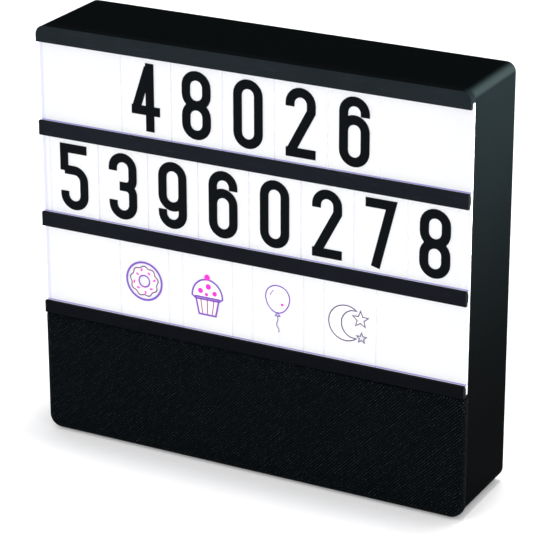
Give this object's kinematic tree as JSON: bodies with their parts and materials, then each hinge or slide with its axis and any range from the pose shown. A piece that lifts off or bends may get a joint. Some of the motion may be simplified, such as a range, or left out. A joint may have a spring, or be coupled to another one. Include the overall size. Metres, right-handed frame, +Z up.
{
  "type": "cinema light box",
  "caption": "Lit message box with rails for loose number and picture tiles over a cloth speaker grille, with buttons, a light switch and sockets on the back.",
  "frame": {"origin": "middle of the footprint, on the plane under the feet", "axes": "+X to the right seen from the front, the lit front faces -Y, +Z up"},
  "size_m": [0.22, 0.0486, 0.205],
  "materials": {
    "casing_black": "fine-grained satin black",
    "rail_black": "satin black",
    "control_black": "satin black",
    "opal": "opal white, lit from behind",
    "film": "clear film",
    "reflector_white": "matt white",
    "strip_white": "white solder mask",
    "led_white": "clear lens",
    "cloth": "woven black speaker cloth",
    "frame_black": "matt black",
    "steel_screw": "zinc plated",
    "black_screw": "blackened steel",
    "basket_metal": "pressed steel, painted",
    "ferrite": "sintered ferrite",
    "cone_paper": "coated paper",
    "rubber_black": "matt rubber",
    "board_green": "green solder mask",
    "chip_black": "moulded epoxy",
    "socket_steel": "nickel plated",
    "cell_blue": "sleeved cell",
    "lead_red": "soft insulation",
    "lead_blue": "soft insulation",
    "lead_yellow": "soft insulation"
  },
  "bodies": {
    "box": {"casing": "casing_black", "back_cover": "casing_black", "back_cover_screws": "black_screw", "rubber_feet": "rubber_black", "diffuser_panel": "opal", "top_rail": "rail_black", "upper_rail": "rail_black", "lower_rail": "rail_black", "base_rail": "rail_black", "rail_screws": "steel_screw", "reflector_tray": "reflector_white", "led_strip_top": "strip_white", "led_strip_middle": "strip_white", "led_strip_bottom": "strip_white", "led_chips": "led_white", "speaker_baffle": "frame_black", "baffle_screws": "steel_screw", "grille_frame": "frame_black", "grille_cloth": "cloth", "left_speaker_basket": "basket_metal", "left_speaker_magnet": "ferrite", "left_speaker_surround": "rubber_black", "right_speaker_basket": "basket_metal", "right_speaker_magnet": "ferrite", "right_speaker_surround": "rubber_black", "speaker_screws": "steel_screw", "main_board": "board_green", "board_components": "chip_black", "board_screws": "steel_screw", "key_switches": "chip_black", "charging_socket": "socket_steel", "headphone_socket": "control_black", "light_switch_body": "socket_steel", "battery_cells": "cell_blue", "battery_holder": "frame_black", "led_leads": "lead_red", "speaker_leads": "lead_blue", "battery_lead": "lead_yellow"},
    "number_row_1": {"number_tiles_row_1": "film"},
    "number_row_2": {"number_tiles_row_2": "film"},
    "picture_1": {"picture_tile_1": "film"},
    "picture_2": {"picture_tile_2": "film"},
    "picture_3": {"picture_tile_3": "film"},
    "picture_4": {"picture_tile_4": "film"},
    "left_cone": {"left_speaker_cone": "cone_paper"},
    "right_cone": {"right_speaker_cone": "cone_paper"},
    "power_key": {"power_button": "control_black"},
    "volume_down_key": {"volume_down_button": "control_black"},
    "play_key": {"play_button": "control_black"},
    "volume_up_key": {"volume_up_button": "control_black"},
    "pairing_key": {"pairing_button": "control_black"},
    "light_slider": {"light_switch_slider": "control_black"}
  },
  "joints": [
    {"name": "number_row_1_slide", "type": "slide", "parent": "box", "child": "number_row_1", "axis": [1, 0, 0], "range_m": [-0.0439, 0.0431]},
    {"name": "number_row_2_slide", "type": "slide", "parent": "box", "child": "number_row_2", "axis": [1, 0, 0], "range_m": [-0.0041, 0.0031]},
    {"name": "picture_1_slide", "type": "slide", "parent": "box", "child": "picture_1", "axis": [1, 0, 0], "range_m": [-0.0412, 0.00365]},
    {"name": "picture_2_slide", "type": "slide", "parent": "box", "child": "picture_2", "axis": [1, 0, 0], "range_m": [-0.00365, 0.00515]},
    {"name": "picture_3_slide", "type": "slide", "parent": "box", "child": "picture_3", "axis": [1, 0, 0], "range_m": [-0.00515, 0.00515]},
    {"name": "picture_4_slide", "type": "slide", "parent": "box", "child": "picture_4", "axis": [1, 0, 0], "range_m": [-0.00515, 0.0445]},
    {"name": "left_cone_stroke", "type": "slide", "parent": "box", "child": "left_cone", "axis": [0, -1, 0], "range_m": [-0.0008, 0.0008], "stiffness_N_per_m": 1200},
    {"name": "right_cone_stroke", "type": "slide", "parent": "box", "child": "right_cone", "axis": [0, -1, 0], "range_m": [-0.0008, 0.0008], "stiffness_N_per_m": 1200},
    {"name": "power_press", "type": "slide", "parent": "box", "child": "power_key", "axis": [0, -1, 0], "range_m": [0, 0.0005], "stiffness_N_per_m": 900},
    {"name": "volume_down_press", "type": "slide", "parent": "box", "child": "volume_down_key", "axis": [0, -1, 0], "range_m": [0, 0.0005], "stiffness_N_per_m": 900},
    {"name": "play_press", "type": "slide", "parent": "box", "child": "play_key", "axis": [0, -1, 0], "range_m": [0, 0.0005], "stiffness_N_per_m": 900},
    {"name": "volume_up_press", "type": "slide", "parent": "box", "child": "volume_up_key", "axis": [0, -1, 0], "range_m": [0, 0.0005], "stiffness_N_per_m": 900},
    {"name": "pairing_press", "type": "slide", "parent": "box", "child": "pairing_key", "axis": [0, -1, 0], "range_m": [0, 0.0005], "stiffness_N_per_m": 900},
    {"name": "light_switch_slide", "type": "slide", "parent": "box", "child": "light_slider", "axis": [1, 0, 0], "range_m": [-0.004, 0]}
  ]
}
